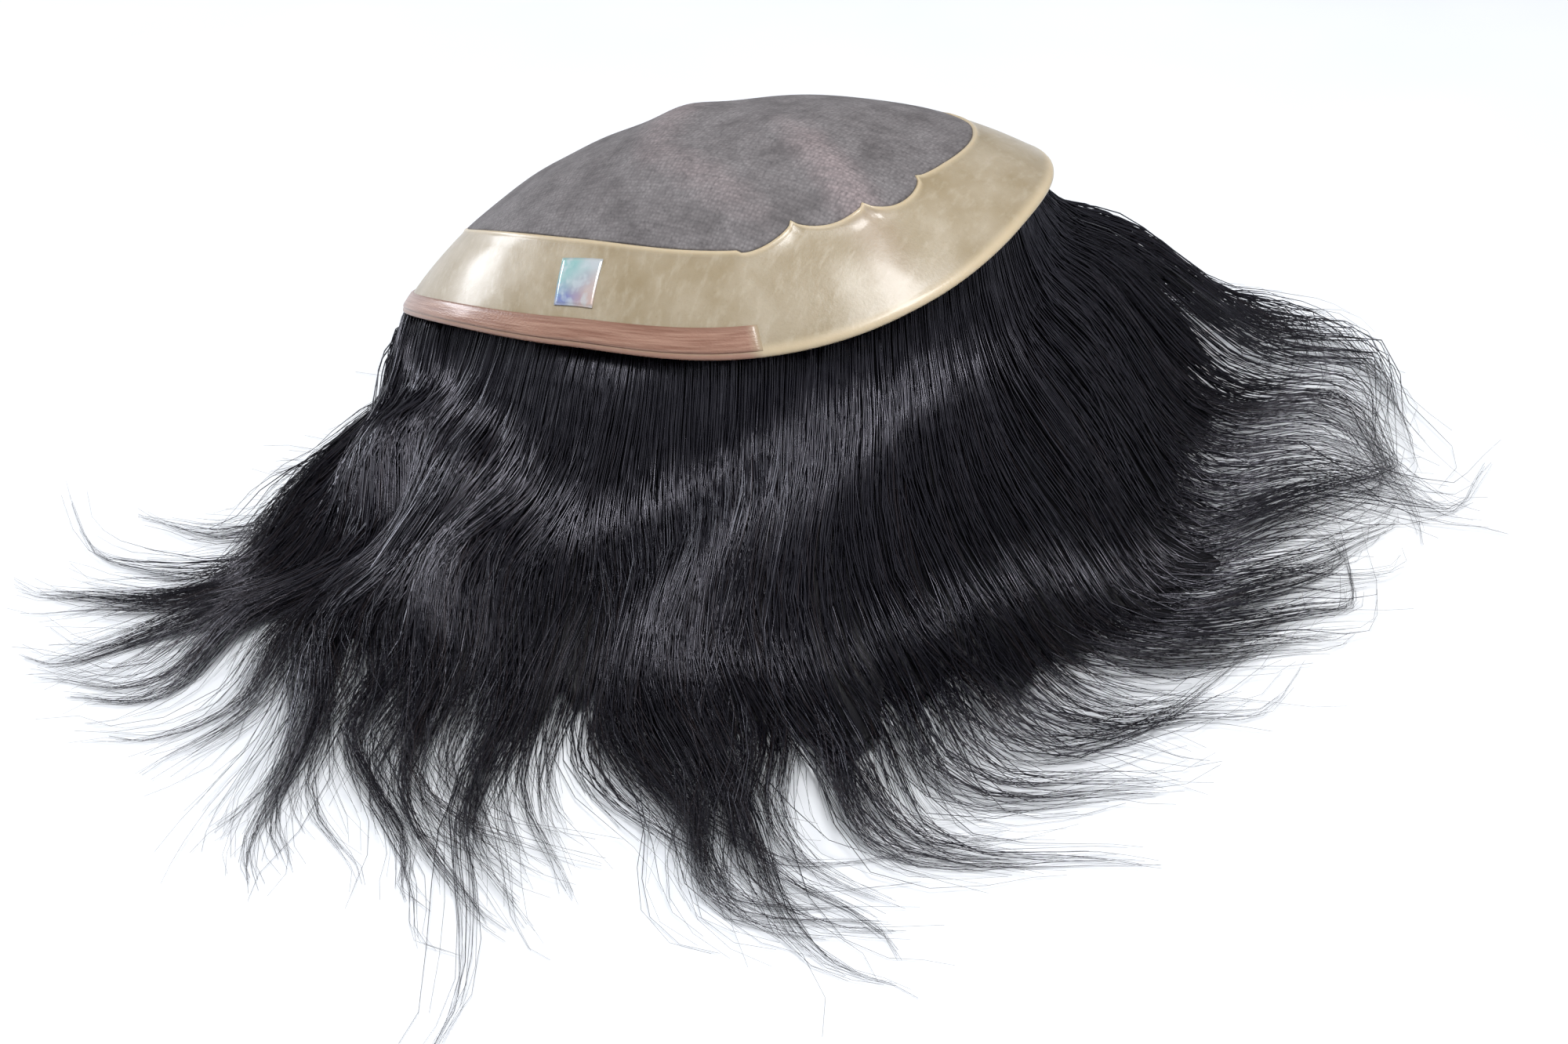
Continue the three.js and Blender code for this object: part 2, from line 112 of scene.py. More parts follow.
# Columns: the degree round the rim, the way it leaves the rim, the way to where its tip lies, its
# reach as a share of the hair's length, how far its tip turns, how far it bends to the left as a
# share of the reach, and the share of its way where its first wave starts
LOCKS = [
    (166, -135, -118, 0.42, -30, 0, 0.12),
    (177, -138, -118, 0.52, -35, 0, 0.12),
    (188, -138, -124, 0.7, -50, 0.03, 0.14),
    (199, -130, -127, 0.68, -55, 0.08, 0.2),
    (210, -125, -125, 0.68, -45, 0.03, 0.22),
    (221, -120, -122, 0.65, -35, -0.01, 0.22),
    (232, -115, -118, 0.66, -25, -0.04, 0.2),
    (243, -110, -114, 0.66, 20, -0.06, 0.2),
    (252, -105, -109, 0.69, 28, -0.06, 0.22),
    (262, -100, -104, 0.71, 35, -0.06, 0.29),
    (272, -98, -98, 0.74, 40, -0.05, 0.34),
    (283, -95, -94, 0.73, 35, -0.03, 0.36),
    (293, -92, -91, 0.72, 20, -0.02, 0.32),
    (304, -88, -86, 0.73, 30, -0.03, 0.26),
    (314, -85, -82, 0.67, 42, -0.05, 0.2),
    (324, -87, -77, 0.69, 50, -0.07, 0.15),
    (334, -90, -65, 0.61, 55, -0.05, 0.12),
    (343, -88, -48, 0.55, 65, -0.08, 0.11),
    (351, -82, -31, 0.57, 70, -0.09, 0.13),
    (359, -70, -22, 0.56, 50, -0.05, 0.14),
    (368, -40, -26, 0.57, -20, 0.1, 0.12),
    (377, -5, -30, 0.62, -62, 0.2, 0.14),
    (387, 5, -21, 0.56, -75, 0.18, 0.15),
    (397, 8, -13, 0.46, -70, 0.13, 0.15),
    (402, -80, -85, 0.3, -10, 0, 0.15),
    (422, -100, -108, 0.24, -10, 0, 0.15),
    (446, -110, -112, 0.21, 0, 0, 0.15),
    (472, -110, -105, 0.18, 0, 0, 0.15),
    (500, -90, -80, 0.14, 15, 0, 0.15),
]


# ---- the shape of the base ----


def dome(u, v):
    """The smooth dome before it is laid down: u runs to the hairline and v across."""
    along, across = u / LENGTH_RADIUS, v / WIDTH_RADIUS
    reach = LENGTH_RADIUS - WIDTH_RADIUS + WIDTH_RADIUS * np.cos(across)
    lift = CORNER_LIFT * (u / HALF_LENGTH) * (v / HALF_WIDTH)
    height = reach * np.cos(along) - LENGTH_RADIUS + lift
    return np.stack([reach * np.sin(along), WIDTH_RADIUS * np.sin(across), height], -1)


LAID = np.array(
    Matrix.Rotation(math.radians(YAW), 3, "Z")
    @ Matrix.Rotation(math.radians(-PITCH), 3, "Y")
    @ Matrix.Rotation(math.radians(ROLL), 3, "X")
)


def ridge_height(u, v):
    """How far the creases lift the cap at a place, in millimetres."""
    total = np.zeros_like(u)
    for crease in CREASES:
        start = np.array(crease["from"]) * (HALF_LENGTH, HALF_WIDTH)
        along = np.array(crease["to"]) * (HALF_LENGTH, HALF_WIDTH) - start
        du, dv = u - start[0], v - start[1]
        share = np.clip((du * along[0] + dv * along[1]) / (along @ along), 0, 1)
        away = np.hypot(du - share * along[0], dv - share * along[1])
        fade = np.sin(np.pi * (0.12 + 0.76 * share))
        spread = crease["spread"] * SKIN_WIDTH
        total += crease["height"] * CAP_WALL * fade * np.exp(-((away / spread) ** 2))
    return total


def cap_point(u, v, offset=0.0, creased=True):
    """A point of the laid cap, offset along its outward normal."""
    u, v = np.broadcast_arrays(np.asarray(u, float), np.asarray(v, float))
    step = 0.05
    du = dome(u + step, v) - dome(u - step, v)
    dv = dome(u, v + step) - dome(u, v - step)
    normal = np.cross(du, dv)
    normal /= np.linalg.norm(normal, axis=-1, keepdims=True)
    rise = offset + (ridge_height(u, v) if creased else 0.0)
    rise = np.broadcast_to(rise, u.shape)[..., None]
    return (dome(u, v) + normal * rise) @ LAID.T + (0, 0, APEX_HEIGHT)


def rim_place(degrees, inset):
    """The place that lies the inset inside the rim, at an angle round it."""
    c, s = np.cos(np.radians(degrees)), np.sin(np.radians(degrees))
    power = np.where(c < 0, BACK_SQUARENESS, FRONT_SQUARENESS)
    length, width = np.abs(c) / (HALF_LENGTH - inset), np.abs(s) / (HALF_WIDTH - inset)
    reach = (length**power + width**power) ** (-1 / power)
    return reach * c, reach * s


def seam_place(degrees, outward=0.0):
    """The seam between net and skin: plain at the sides and back, scalloped along the hairline."""
    turn = (np.asarray(degrees, float) + 180) % 360 - 180
    inset = SKIN_WIDTH * (1.035 - 0.167 * np.cos(np.radians(turn)))
    start = -FRONT_HALF_ANGLE
    before = SKIN_WIDTH * (1.035 - 0.167 * math.cos(math.radians(start)))
    for span, cusp, depth in SCALLOPS:
        width = span * 2 * FRONT_HALF_ANGLE / SCALLOP_COUNT
        share = np.clip((turn - start) / width, 0, 1)
        straight = before + (SKIN_WIDTH * cusp - before) * share
        bulge = SCALLOP_DEPTH * depth * np.sqrt(np.abs(np.sin(np.pi * share)))
        inset = np.where((turn > start) & (turn <= start + width), straight - bulge, inset)
        start, before = start + width, SKIN_WIDTH * cusp
    return rim_place(degrees, inset - outward)


def spoke_angles(per_scallop, elsewhere):
    """Angles round the cap: finer along the scallops than elsewhere."""
    fine = SCALLOP_COUNT * per_scallop
    front = FRONT_HALF_ANGLE * (2 * np.arange(fine) / fine - 1)
    rest = FRONT_HALF_ANGLE + (360 - 2 * FRONT_HALF_ANGLE) * np.arange(elsewhere) / elsewhere
    return np.concatenate([front, rest])


def shift_to_frame():
    """The solids stand with the origin under the middle of their box, so the net's lowest
    corner says how far the cap was moved for that."""
    place = seam_place(spoke_angles(SPOKES_PER_SCALLOP, OTHER_SPOKES), -SEAM_GAP / 2)
    edge = np.concatenate([cap_point(*place, 0), cap_point(*place, -CAP_WALL)])
    return np.array(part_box("mesh_crown")[0]) / MM - edge.min(0)


SHIFT = shift_to_frame()


# ---- meshes ----


def new_piece(name, mesh, material, node):
    """Puts a finished mesh in the scene and hides the part that it stands for."""
    piece = bpy.data.objects.new(name, mesh)
    bpy.context.scene.collection.objects.link(piece)
    if material and not mesh.materials:
        mesh.materials.append(material)
    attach(piece, "root")
    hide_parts(node)
    return piece


def closed_mesh(name, points, faces, place, attributes=None):
    """A smooth mesh from points in millimetres. place gives each point's two surface
    coordinates, which become its UV map, in metres."""
    mesh = bpy.data.meshes.new(name)
    mesh.from_pydata(((points + SHIFT) * MM).tolist(), [], faces)
    mesh.polygons.foreach_set("use_smooth", np.ones(len(mesh.polygons), bool))
    loops = np.empty(len(mesh.loops), np.int32)
    mesh.loops.foreach_get("vertex_index", loops)
    layer = mesh.uv_layers.new(name="surface")
    layer.data.foreach_set("uv", (place[loops] * MM).astype(np.float32).ravel())
    for key, values in (attributes or {}).items():
        attribute = mesh.attributes.new(key, "FLOAT", "POINT")
        attribute.data.foreach_set("value", values.astype(np.float32).ravel())
    mesh.validate()
    return mesh


def ring_faces(rings, spokes, inner, outer=0):
    """Quads between rings of points that close on themselves. inner is the first point's number,
    and outer turns the faces over."""
    faces = []
    for r in range(rings - 1):
        for i in range(spokes):
            j = (i + 1) % spokes
            a, b = inner + r * spokes, inner + (r + 1) * spokes
            quad = (a + i, b + i, b + j, a + j)
            faces.append(quad[::-1] if outer else quad)
    return faces


def cap_shell(name, u, v, top, bottom, attributes=None, hole=False):
    """A closed shell of the cap. u and v are rings of places, from the inside out, and top and
    bottom its offsets. Its middle is closed unless it has a hole."""
    rings, spokes = u.shape
    top = np.broadcast_to(top, u.shape)
    bottom = np.broadcast_to(bottom, u.shape)
    points = [cap_point(u, v, top).reshape(-1, 3), cap_point(u, v, bottom).reshape(-1, 3)]
    place = [np.stack([u.ravel(), v.ravel()], -1)] * 2
    under = rings * spokes
    faces = ring_faces(rings, spokes, 0) + ring_faces(rings, spokes, under, outer=1)
    last = (rings - 1) * spokes
    for i in range(spokes):
        j = (i + 1) % spokes
        faces.append((last + j, last + i, under + last + i, under + last + j))
        if hole:
            faces.append((i, j, under + j, under + i))
        else:
            faces += [(2 * under, i, j), (2 * under + 1, under + j, under + i)]
    extra = {key: np.concatenate([value.ravel()] * 2) for key, value in (attributes or {}).items()}
    if not hole:
        centre = np.zeros(1)
        points += [cap_point(centre, centre, top[0, 0]), cap_point(centre, centre, bottom[0, 0])]
        place.append(np.zeros((2, 2)))
        extra = {key: np.append(value, value[:2]) for key, value in extra.items()}
    return closed_mesh(name, np.concatenate(points), faces, np.concatenate(place), extra)


# ---- materials ----


def colour(code):
    """An sRGB hex colour as a linear one."""
    parts = [int(code[i : i + 2], 16) / 255 for i in (1, 3, 5)]
    linear = [p / 12.92 if p <= 0.04045 else ((p + 0.055) / 1.055) ** 2.4 for p in parts]
    return (*linear, 1.0)


def add(tree, kind, inputs=None, **settings):
    """Adds a node. An input is a value, or another node's output to link."""
    node = tree.nodes.new(kind)
    for key, value in settings.items():
        setattr(node, key, value)
    for key, value in (inputs or {}).items():
        if isinstance(value, bpy.types.NodeSocket):
            tree.links.new(value, node.inputs[key])
        else:
            node.inputs[key].default_value = value
    return node


def finish_of(name, **values):
    """A material with one Principled shader, its node tree and the shader."""
    material = bpy.data.materials.new(name)
    material.use_nodes = True
    tree = material.node_tree
    tree.nodes.clear()
    shader = add(tree, "ShaderNodeBsdfPrincipled", values)
    add(tree, "ShaderNodeOutputMaterial", {"Surface": shader.outputs[0]})
    return material, tree, shader


def stretched(tree, vector, size):
    """Coordinates in which one unit is the size along each axis, in millimetres."""
    scale = tuple(1 / (axis * MM) for axis in size)
    return add(tree, "ShaderNodeMapping", {"Vector": vector, "Scale": scale}).outputs[0]


def grain(tree, vector, size, detail=2.0, roughness=0.5):
    """Noise whose lumps have a real size in millimetres: one number, or one for each axis."""
    axes = size if isinstance(size, tuple) else (size,) * 3
    inputs = {"Vector": stretched(tree, vector, axes), "Scale": 1.0, "Detail": detail}
    inputs["Roughness"] = roughness
    return add(tree, "ShaderNodeTexNoise", inputs).outputs[0]


def ramp(tree, value, low, high, start=0.0, end=1.0):
    """A value spread from low to high, with start and end as its results."""
    inputs = {0: value, 1: low, 2: high, 3: start, 4: end}
    return add(tree, "ShaderNodeMapRange", inputs).outputs[0]


def blend_colours(tree, share, first, second):
    """Two colours, or sockets, mixed by a share."""
    node = add(tree, "ShaderNodeMix", {0: share}, data_type="RGBA", blend_type="MIX")
    for index, value in ((6, first), (7, second)):
        if isinstance(value, str):
            node.inputs[index].default_value = colour(value)
        else:
            tree.links.new(value, node.inputs[index])
    return node.outputs[2]


def sum_of(tree, first, second, operation="ADD"):
    """Two values added, or put together by another operation."""
    return add(tree, "ShaderNodeMath", {0: first, 1: second}, operation=operation).outputs[0]


def bump(tree, height, depth, strength=1.0):
    """A bump whose height of 1 is the depth in millimetres."""
    inputs = {"Height": height, "Distance": depth * MM, "Strength": strength}
    return add(tree, "ShaderNodeBump", inputs).outputs[0]


def surface_map(tree):
    """The piece's own surface coordinates, in metres."""
    return add(tree, "ShaderNodeUVMap", uv_map="surface").outputs[0]


def attribute(tree, name):
    """A value that the mesh carries at its points."""
    return add(tree, "ShaderNodeAttribute", attribute_name=name).outputs["Fac"]


def knotted_net():
    """Mono net, a woven nylon gauze with a hair knotted at each crossing: grey-brown and matt,
    with dark knots, and paler and pinker in patches along its crease ridges. The real holes are
    0.6 mm, and are drawn at 1.1 mm so that they show."""
    material, tree, shader = finish_of("knotted mono net", Roughness=0.72, IOR=1.5)
    place = surface_map(tree)
    holes = {"Vector": stretched(tree, place, (1.1, 0.95, 1.0)), "Scale": 1.0, "Randomness": 0.45}
    cell = add(tree, "ShaderNodeTexVoronoi", holes).outputs[0]
    knots = grain(tree, place, (0.9, 1.5, 1.0), 3.0, 0.7)
    patches = grain(tree, place, 13.0, 4.0, 0.62)
    streak_noise = grain(tree, place, (5.0, 2.0, 1.0), 3.0, 0.6)
    base = blend_colours(tree, ramp(tree, patches, 0.35, 0.65), "#5d595a", "#858182")
    streaks = ramp(tree, streak_noise, 0.42, 0.7, 0.0, 0.45)
    base = blend_colours(tree, streaks, base, "#8f898a")
    # Paler and pinker in patches along the crease ridges
    ridge_patches = ramp(tree, streak_noise, 0.3, 0.7, 0.6, 1.0)
    ridge = sum_of(tree, attribute(tree, "ridge"), ridge_patches, "MULTIPLY")
    base = blend_colours(tree, ramp(tree, ridge, 0.15, 0.8, 0.0, 0.65), base, "#ab9b9c")
    thread = ramp(tree, cell, 0.15, 0.6, 0.0, 0.42)
    base = blend_colours(tree, thread, base, "#4b4648")
    dots = ramp(tree, knots, 0.52, 0.72, 0.0, 0.55)
    tree.links.new(blend_colours(tree, dots, base, "#3a3638"), shader.inputs["Base Color"])
    relief = sum_of(tree, cell, knots)
    tree.links.new(bump(tree, relief, 0.25, 0.6), shader.inputs["Normal"])
    return material


def clear_skin():
    """Cast polyurethane skin, cream and slightly cloudy, poured over gauze: glossy on top, with
    pale hems and the roots of the hair as faint streaks in it."""
    material, tree, shader = finish_of(
        "cast polyurethane skin",
        Roughness=0.4,
        IOR=1.5,
        **{"Subsurface Weight": 0.2, "Subsurface Scale": 0.002, "Coat Weight": 0.25},
        **{"Coat Roughness": 0.14},
    )
    shader.inputs["Subsurface Radius"].default_value = (1.0, 0.7, 0.45)
    place = surface_map(tree)
    cloud = grain(tree, place, 16.0, 3.0, 0.55)
    fleck = grain(tree, place, (2.4, 5.0, 1.0), 3.0, 0.6)
    base = blend_colours(tree, ramp(tree, cloud, 0.34, 0.68), "#98886b", "#afa28c")
    base = blend_colours(tree, ramp(tree, fleck, 0.5, 0.75, 0.0, 0.45), base, "#c0b5a2")
    roots = grain(tree, place, (0.8, 0.8, 1.0), 2.0, 0.6)
    base = blend_colours(tree, ramp(tree, roots, 0.58, 0.75, 0.0, 0.22), base, "#7f7459")
    base = blend_colours(tree, ramp(tree, attribute(tree, "ridge"), 0.1, 0.9, 0.0, 0.3), base,
                         "#ad9688")
    hem = attribute(tree, "hem")
    base = blend_colours(tree, ramp(tree, hem, 0.05, 1.0, 0.0, 0.85), base, "#cdbb9c")
    base = blend_colours(tree, attribute(tree, "tape"), base, "#a5796a")
    tree.links.new(base, shader.inputs["Base Color"])
    relief = sum_of(tree, fleck, roots)
    tree.links.new(bump(tree, relief, 0.12, 0.35), shader.inputs["Normal"])
    return material


def edge_tape():
    """Narrow woven tape of dyed polyamide, set in clear skin: reddish brown, streaked along its
    threads, with painted shade along its inner edge and a soft gloss from the skin over it."""
    material, tree, shader = finish_of(
        "polyamide edge tape in clear skin",
        Roughness=0.38,
        IOR=1.5,
        **{"Coat Weight": 0.3, "Coat Roughness": 0.15},
    )
    place = surface_map(tree)
    threads = grain(tree, place, (18.0, 0.7, 1.0), 3.0, 0.6)
    patches = grain(tree, place, (7.0, 2.5, 1.0), 3.0, 0.6)
    weave = grain(tree, place, (0.8, 0.5, 1.0), 1.0)
    base = blend_colours(tree, ramp(tree, threads, 0.35, 0.65), "#875f4e", "#b08b78")
    base = blend_colours(tree, ramp(tree, patches, 0.45, 0.7, 0.0, 0.5), base, "#a17866")
    # Painted shade: darker towards the tape's inner edge
    base = blend_colours(tree, ramp(tree, attribute(tree, "painted_edge_shade"), 0, 1, 0, 0.6), base, "#74503f")
    base = blend_colours(tree, attribute(tree, "ends"), "#a8977c", base)
    tree.links.new(base, shader.inputs["Base Color"])
    relief = sum_of(tree, threads, weave)
    tree.links.new(bump(tree, relief, 0.2, 0.5), shader.inputs["Normal"])
    return material


def pearl_foil():
    """Embossed diffraction foil: a thin metallised film that turns from sea green to lilac and
    peach, with a pale border."""
    material, tree, shader = finish_of(
        "embossed diffraction foil",
        Roughness=0.24,
        Metallic=0.45,
        **{"Coat Weight": 0.2, "Coat Roughness": 0.15},
    )
    place = surface_map(tree)
    drift = grain(tree, place, 9.0, 2.0)
    way = add(tree, "ShaderNodeSeparateXYZ", {0: place})
    turn = ramp(tree, drift, 0.3, 0.7, -0.2, 0.2)
    up = sum_of(tree, ramp(tree, way.outputs[1], -0.0665, -0.0545), turn)
    along = sum_of(tree, ramp(tree, way.outputs[0], -0.004, 0.01), turn)
    near_end = blend_colours(tree, ramp(tree, up, 0.1, 0.75), "#8d9bd0", "#9dd3d0")
    far_end = blend_colours(tree, ramp(tree, up, 0.1, 0.7), "#dfbcb0", "#d9dfe4")
    base = blend_colours(tree, ramp(tree, along, 0.15, 0.8), near_end, far_end)
    glow = ramp(tree, grain(tree, place, 3.5, 2.0), 0.48, 0.62, 0.0, 0.6)
    base = blend_colours(tree, glow, base, "#dbe6ec")
    edge = ramp(tree, attribute(tree, "hem"), 0, 1, 0, 0.45)
    base = blend_colours(tree, edge, base, "#cfcfc9")
    tree.links.new(base, shader.inputs["Base Color"])
    tree.links.new(bump(tree, grain(tree, place, 0.8), 0.05, 0.3), shader.inputs["Normal"])
    return material


def human_hair():
    """Human hair, dyed near black: a smooth scaly cuticle with a cool sheen, and a little brown
    in single hairs and towards their ends."""
    material, tree, shader = finish_of(
        "dyed human hair", Roughness=0.34, IOR=1.55, **{"Specular IOR Level": 0.75}
    )
    shader.inputs["Specular Tint"].default_value = colour("#e6e4f3")
    brown = sum_of(tree, attribute(tree, "tint"), attribute(tree, "along"), "MULTIPLY")
    base = blend_colours(tree, ramp(tree, brown, 0.25, 0.9, 0.0, 0.8), "#0e0d14", "#33251f")
    tree.links.new(base, shader.inputs["Base Color"])
    scales = grain(tree, add(tree, "ShaderNodeTexCoord").outputs["Object"], 3.0, 1.0)
    tree.links.new(ramp(tree, scales, 0.3, 0.7, 0.22, 0.34), shader.inputs["Roughness"])
    return material


def matted_hair():
    """The same hair where it lies matted at its roots: too dense to see single hairs, so it has
    them as a fine relief along its length."""
    material, tree, shader = finish_of(
        "matted hair roots", Roughness=0.5, IOR=1.55, **{"Specular IOR Level": 0.25}
    )
    place = surface_map(tree)
    hairs = grain(tree, place, (0.5, 40.0, 1.0), 2.0, 0.6)
    base = blend_colours(tree, ramp(tree, hairs, 0.4, 0.7), "#08070b", "#13121a")
    tree.links.new(base, shader.inputs["Base Color"])
    tree.links.new(bump(tree, hairs, 0.5, 0.8), shader.inputs["Normal"])
    return material


def matt_paper():
    """Seamless background paper: off-white, matt, with a faint grain."""
    material, tree, shader = finish_of("seamless background paper", Roughness=0.85)
    place = add(tree, "ShaderNodeTexCoord").outputs["Object"]
    tone = ramp(tree, grain(tree, place, 90.0), 0.3, 0.7)
    tree.links.new(blend_colours(tree, tone, "#edf0f5", "#f2f4f7"), shader.inputs["Base Color"])
    return material


# ---- the base's pieces ----


def net_crown(material):
    """The net, from its middle to the scalloped seam, with a soft unevenness of cloth."""
    spokes = spoke_angles(*FINE_SPOKES)
    seam = np.stack(seam_place(spokes, -0.03))
    plain = np.stack(rim_place(spokes, SKIN_WIDTH))
    shares = np.concatenate([np.linspace(0.03, 0.8, 24), np.linspace(0.83, 0.97, 6), [0.99, 1.0]])
    blend = np.clip((shares - 0.6) / 0.4, 0, 1)[:, None, None]
    places = (plain + (seam - plain) * blend) * shares[:, None, None]
    u, v = places[:, 0], places[:, 1]
    soft = 0.22 * np.sin(u / 6.1 + 1.3 * np.sin(v / 9.0)) * np.sin(v / 5.3 + 0.4)
    ridge = ridge_height(u, v) / (CREASES[0]["height"] * CAP_WALL)
    mesh = cap_shell("mesh_crown_cloth", u, v, soft - 0.05, -CAP_WALL, {"ridge": ridge})
    return new_piece("mesh_crown_cloth", mesh, material, "mesh_crown")


def skin_ring(material):
    """The skin between seam and rim: a lip over the net, thin at the rim, with its hems."""
    spokes = spoke_angles(*FINE_SPOKES)
    seam = np.stack(seam_place(spokes, 0.03))
    rim = np.stack(rim_place(spokes, 0.0))
    width = np.linalg.norm(rim - seam, axis=0)
    from_seam = np.array([0.0, 0.25, 0.6, 1.0, 1.5, 2.1])
    from_rim = np.array([5.0, 4.0, 3.2, 2.6, 2.1, 1.6, 1.1, 0.7, 0.35, 0.12, 0.0])
    middle = np.linspace(0, 1, 9)[1:-1]
    rows = [from_seam[:, None] / width]
    rows.append(2.1 / width + (1 - 7.1 / width) * middle[:, None])
    rows.append(1 - from_rim[:, None] / width)
    share = np.concatenate(rows)
    u = seam[0] + (rim[0] - seam[0]) * share
    v = seam[1] + (rim[1] - seam[1]) * share
    inner, outer = share * width, (1 - share) * width
    lip = 0.35 * np.exp(-(((inner - 0.8) / 0.7) ** 2))
    flatter = 0.62 * ridge_height(u, v) * smooth(0.0, 3.5, inner)
    bead = 0.12 * np.exp(-(((outer - 1.5) / 0.9) ** 2))
    rounding = 0.3 * np.exp(-inner / 0.2) + 0.45 * np.exp(-outer / 0.25)
    under = 0.85 * np.exp(-((outer / 1.4) ** 2)) - CAP_WALL
    front = np.cos(np.radians(spokes)) > math.cos(math.radians(FRONT_HALF_ANGLE + 2))
    ribbon_edge = np.where(front, 1.0, 0.3)
    hem = np.exp(-(((inner - 0.7) / 0.8) ** 2)) * 0.9
    hem = hem + ribbon_edge * np.exp(-(((outer - 1.0) / 1.5) ** 2))
    ridge = ridge_height(u, v) / (CREASES[0]["height"] * CAP_WALL)
    tape = np.where(front, 0.0, 0.85) * np.exp(-((outer / 1.4) ** 4))
    mesh = cap_shell(
        "skin_band_cast", u, v, lip + bead - rounding - flatter, under - flatter,
        {"ridge": ridge, "hem": np.clip(hem, 0, 1), "tape": tape}, hole=True,
    )
    return new_piece("skin_band_cast", mesh, material, "skin_band")


def patch_mesh(name, u, v, top, bottom, place, attributes=None):
    """A closed patch of the cap from a grid of places, rows along it."""
    rows, across = u.shape
    points = np.concatenate(
        [cap_point(u, v, top).reshape(-1, 3), cap_point(u, v, bottom).reshape(-1, 3)]
    )
    under = rows * across
    faces = []
    for r in range(rows - 1):
        for k in range(across - 1):
            a = r * across + k
            quad = (a, a + 1, a + across + 1, a + across)
            faces += [quad, tuple(under + q for q in reversed(quad))]
    edge = list(range(across)) + [r * across + across - 1 for r in range(1, rows)]
    edge += [(rows - 1) * across + k for k in range(across - 2, -1, -1)]
    edge += [r * across for r in range(rows - 2, 0, -1)]
    for a, b in zip(edge, edge[1:] + edge[:1]):
        faces.append((b, a, under + a, under + b))
    extra = {key: np.concatenate([value.ravel()] * 2) for key, value in (attributes or {}).items()}
    return closed_mesh(name, points, faces, np.concatenate([place.reshape(-1, 2)] * 2), extra)


def ribbon_strip(material):
    """The tape: it ends square where the hairline starts, and its edges are rounded."""
    steps = 260
    angles = np.linspace(FRONT_HALF_ANGLE, 360 - FRONT_HALF_ANGLE, steps)[::-1, None]
    across = np.array([0.0, 0.04, 0.12, 0.3, 0.5, 0.7, 0.88, 0.96, 1.0])[None, :]
    u, v = rim_place(angles, RIBBON_EDGE + RIBBON_WIDTH * across)
    edge = np.minimum(across, 1 - across) * RIBBON_WIDTH
    length = np.linalg.norm(np.diff(cap_point(u[:, 4], v[:, 4]), axis=0), axis=1)
    run = np.concatenate([[0], np.cumsum(length)])
    place = np.stack([run[:, None] + 0 * across, RIBBON_WIDTH * across + 0 * angles], -1)
    ends = smooth(0.0, 2.5, np.minimum(run, run[-1] - run))[:, None]
    top = 0.15 + 0.35 * (1 - np.exp(-edge / 0.25)) * ends
    # Painted shade along the tape's inner edge, fading out at its ends
    painted_edge_shade = np.exp(-(((1 - across) * RIBBON_WIDTH / 1.1) ** 2)) * ends
    spread = {"painted_edge_shade": painted_edge_shade, "ends": ends + 0 * across}
    mesh = patch_mesh("edge_ribbon_tape", u, v, top, -0.2, place, spread)
    return new_piece("edge_ribbon_tape", mesh, material, "edge_ribbon")


def foil_square(material):
    """The small square sticker on the near side of the skin."""
    steps = 13
    along = np.linspace(0, 1, steps)[:, None] + np.zeros((1, steps))
    across = along.T
    near = -(HALF_WIDTH - STICKER_EDGE)
    u = STICKER_PLACE + STICKER_LENGTH * (along - 0.5)
    v = near + STICKER_WIDTH * across
    edge = np.minimum(np.minimum(along, 1 - along), np.minimum(across, 1 - across))
    hem = np.clip(1 - edge / 0.09, 0, 1)
    top = 0.3 - 0.04 * hem
    place = np.stack([u, v], -1)
    mesh = patch_mesh("foil_sticker_pearl", u.T, v.T, top.T, 0.02, np.swapaxes(place, 0, 1),
                      {"hem": hem.T})
    return new_piece("foil_sticker_pearl", mesh, material, "foil_sticker")


# ---- the hair ----


def heading(degrees):
    """The way on the table that an angle points."""
    return np.array([math.cos(math.radians(degrees)), math.sin(math.radians(degrees))])


def smooth(low, high, value):
    """A soft step from 0 at low to 1 at high."""
    x = np.clip((value - low) / (high - low), 0, 1)
    return x * x * (3 - 2 * x)


def lock_thickness(share):
    """A lock is thickest at the rim and thin at its tip."""
    return TIP_THICKNESS + (LOCK_THICKNESS - TIP_THICKNESS) * (1 - share) ** 0.9


def lock_height(rim_height, share, crest):
    """A lock falls steeply from the rim in waves, and flattens out on the table."""
    drop = np.maximum(0, 1 - share / 0.62) ** 1.7
    swell = smooth(0.02, 0.16, share) * (1 - share) ** 0.7
    wave = (1 + WAVE_HEIGHT * np.sin(2 * np.pi * WAVES * (share - crest))) * swell
    lying = lock_thickness(share) / 2 * math.sin(math.radians(60)) - 0.5
    return np.maximum(lying, np.maximum(lying, rim_height * drop) + wave)


SHARES = np.linspace(0, 1, 61)


def lock_centre(lock):
    """The centre line of a lock from the rim to its tip, at each of the shares."""
    rim, leave, way, reach, curl, bulge, crest = lock
    depth = -CAP_WALL - HAIR_GAP - LOCK_THICKNESS * 0.4
    start = cap_point(*rim_place(rim, ROOT_INSET), depth, creased=False)
    reach = reach * HAIR_LENGTH
    tip = start[:2] + heading(way) * reach
    s = SHARES[:, None]
    plan = start[:2] * (1 + 2 * s) * (1 - s) ** 2
    plan = plan + heading(leave) * 0.55 * reach * s * (1 - s) ** 2
    plan = plan + tip * s**2 * (3 - 2 * s)
    plan = plan + heading(way + curl) * reach * s**2 * (s - 1)
    sway = SIDE_WAVE * s * (1 - s / 2) * np.sin(2 * np.pi * (SIDE_WAVES * s + rim / 90))
    bend = bulge * reach * np.sin(np.pi * np.minimum(s, 0.9999)) ** 1.5
    plan = plan + heading(way + 90) * (bend + sway)
    return np.column_stack([plan, lock_height(start[2], SHARES, crest)])


RIMS = np.array([lock[0] for lock in LOCKS] + [LOCKS[0][0] + 360], float)
CENTRES = np.array([lock_centre(lock) for lock in LOCKS + LOCKS[:1]])


